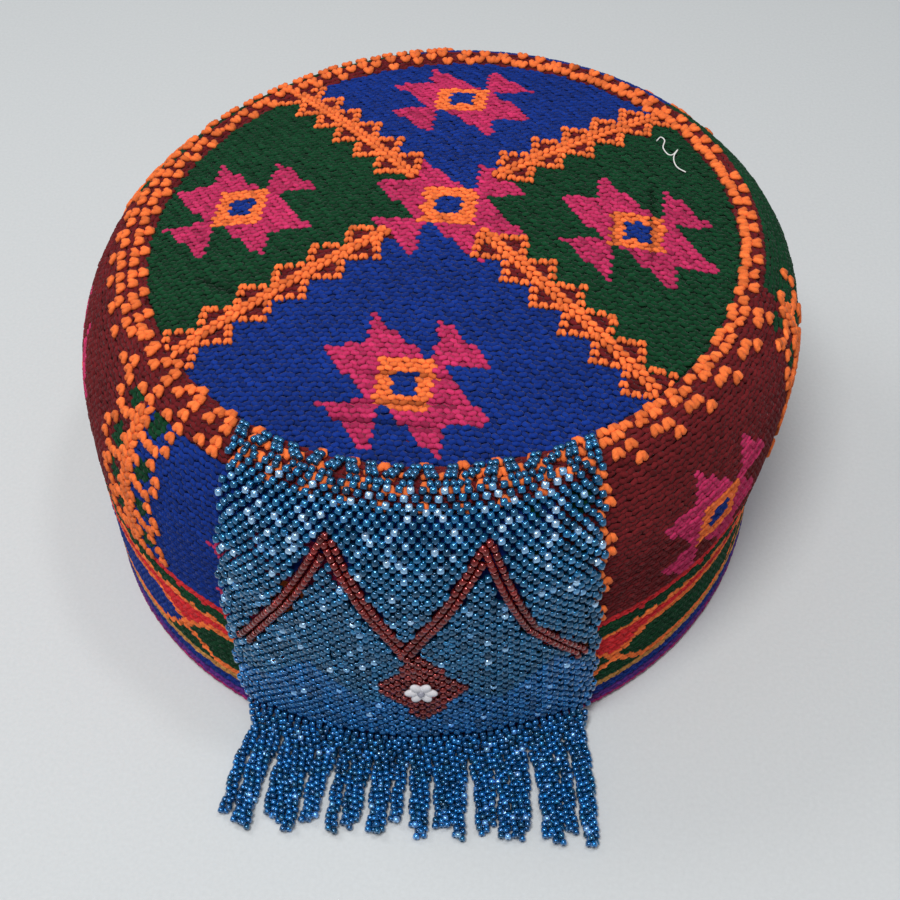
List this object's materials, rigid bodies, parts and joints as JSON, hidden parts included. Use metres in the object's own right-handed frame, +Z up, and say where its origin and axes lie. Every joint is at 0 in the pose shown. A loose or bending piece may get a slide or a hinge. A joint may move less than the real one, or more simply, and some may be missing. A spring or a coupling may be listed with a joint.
{
  "type": "traditional hat",
  "caption": "Round, gently domed cap of patterned worked yarn with a raised ring braid, a striped rim, a woven glass-bead panel on the front wall and a bead fringe.",
  "frame": {"origin": "centre of the part's box at its foot, on the surface that the rim and the fringe rest on", "axes": "+Z up through the crown, -Y toward the front with the bead panel and the fringe, +X to the wearer's left"},
  "size_m": [0.1982, 0.224, 0.0967],
  "materials": {
    "yarn_top": "matte worked yarn, blue and green with orange, maroon and magenta motifs",
    "yarn_ring": "matte worked yarn, orange and maroon braid",
    "yarn_wall": "matte worked yarn, maroon, blue and green sectors with magenta stars",
    "yarn_border": "matte worked yarn, red, green, orange and gold stripes",
    "yarn_edge": "matte worked yarn, purple",
    "bead_teal": "glossy teal seed beads with dark red chevrons",
    "bead_fringe": "glossy teal seed beads",
    "bead_white": "glossy opaque white"
  },
  "bodies": {
    "root": {"crown_top": "yarn_top", "crown_ring": "yarn_ring", "side_band": "yarn_wall", "rim_border": "yarn_border", "rim_edge": "yarn_edge", "bead_panel": "bead_teal", "bead_fringe": "bead_fringe", "bead_flower": "bead_white"}
  },
  "joints": []
}
